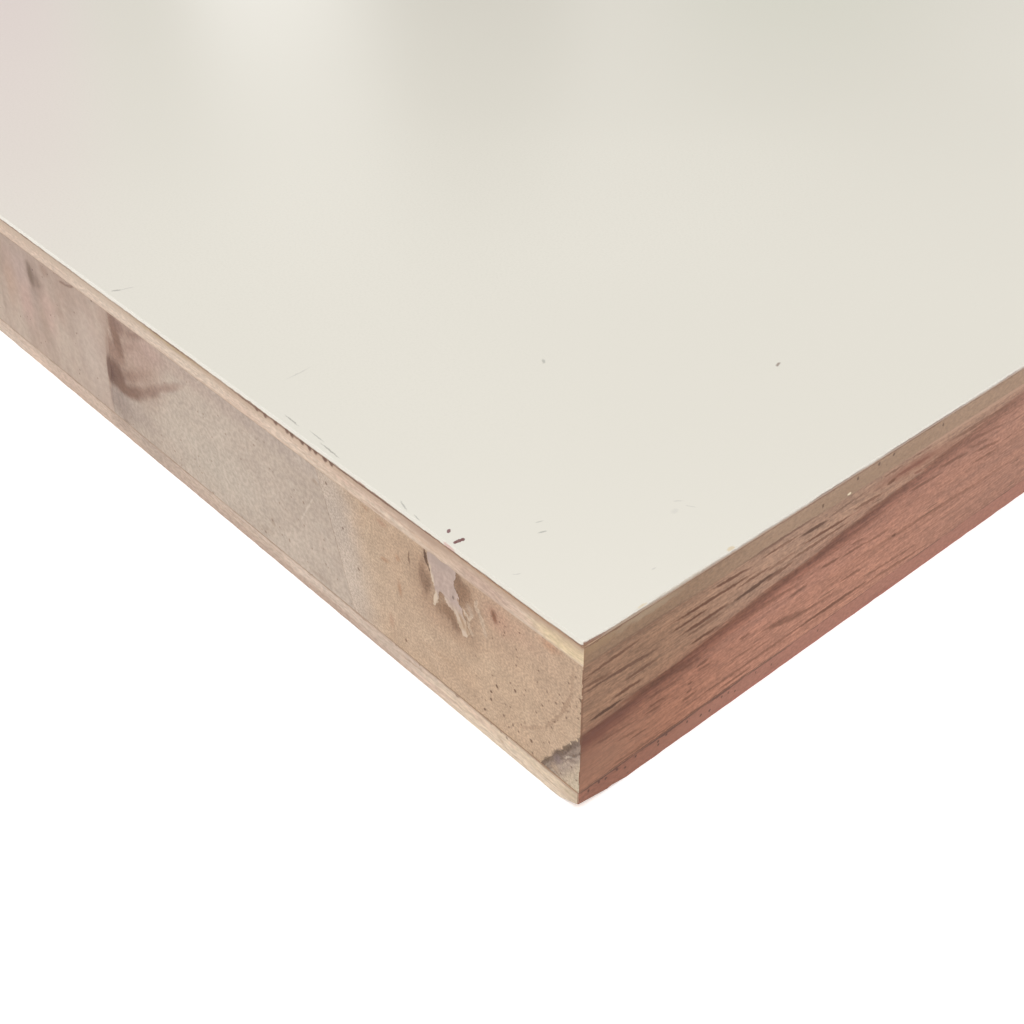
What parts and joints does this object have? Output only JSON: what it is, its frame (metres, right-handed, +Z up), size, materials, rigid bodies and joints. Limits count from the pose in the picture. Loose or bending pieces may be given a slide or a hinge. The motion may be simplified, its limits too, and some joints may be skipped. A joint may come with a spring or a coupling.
{
  "type": "blockboard sheet",
  "caption": "Flat blockboard sheet: a core of glued wood strips between two veneers, with a white laminate bonded to the face and bare wood on the other side.",
  "frame": {"origin": "centre of the underside, on the surface that the sheet lies on", "axes": "+X along the sheet's length and its core strips, +Y across its width, +Z up from the bare back to the laminate"},
  "size_m": [2.44, 1.22, 0.018],
  "materials": {
    "laminate": "warm white decorative laminate, satin, with a fine texture and a few small marks",
    "face_veneer": "light hardwood veneer, sawn and lightly sanded edge",
    "core_wood": "light hardwood strips, sawn end grain with pores",
    "back_veneer": "light hardwood veneer, sawn and lightly sanded edge"
  },
  "bodies": {
    "root": {"face_laminate": "laminate", "face_veneer": "face_veneer", "core_strip_01": "core_wood", "core_strip_02": "core_wood", "core_strip_03": "core_wood", "core_strip_04": "core_wood", "core_strip_05": "core_wood", "core_strip_06": "core_wood", "core_strip_07": "core_wood", "core_strip_08": "core_wood", "core_strip_09": "core_wood", "core_strip_10": "core_wood", "core_strip_11": "core_wood", "core_strip_12": "core_wood", "core_strip_13": "core_wood", "core_strip_14": "core_wood", "core_strip_15": "core_wood", "core_strip_16": "core_wood", "core_strip_17": "core_wood", "core_strip_18": "core_wood", "core_strip_19": "core_wood", "core_strip_20": "core_wood", "core_strip_21": "core_wood", "core_strip_22": "core_wood", "core_strip_23": "core_wood", "core_strip_24": "core_wood", "core_strip_25": "core_wood", "core_strip_26": "core_wood", "core_strip_27": "core_wood", "core_strip_28": "core_wood", "core_strip_29": "core_wood", "core_strip_30": "core_wood", "core_strip_31": "core_wood", "core_strip_32": "core_wood", "core_strip_33": "core_wood", "back_veneer": "back_veneer"}
  },
  "joints": []
}
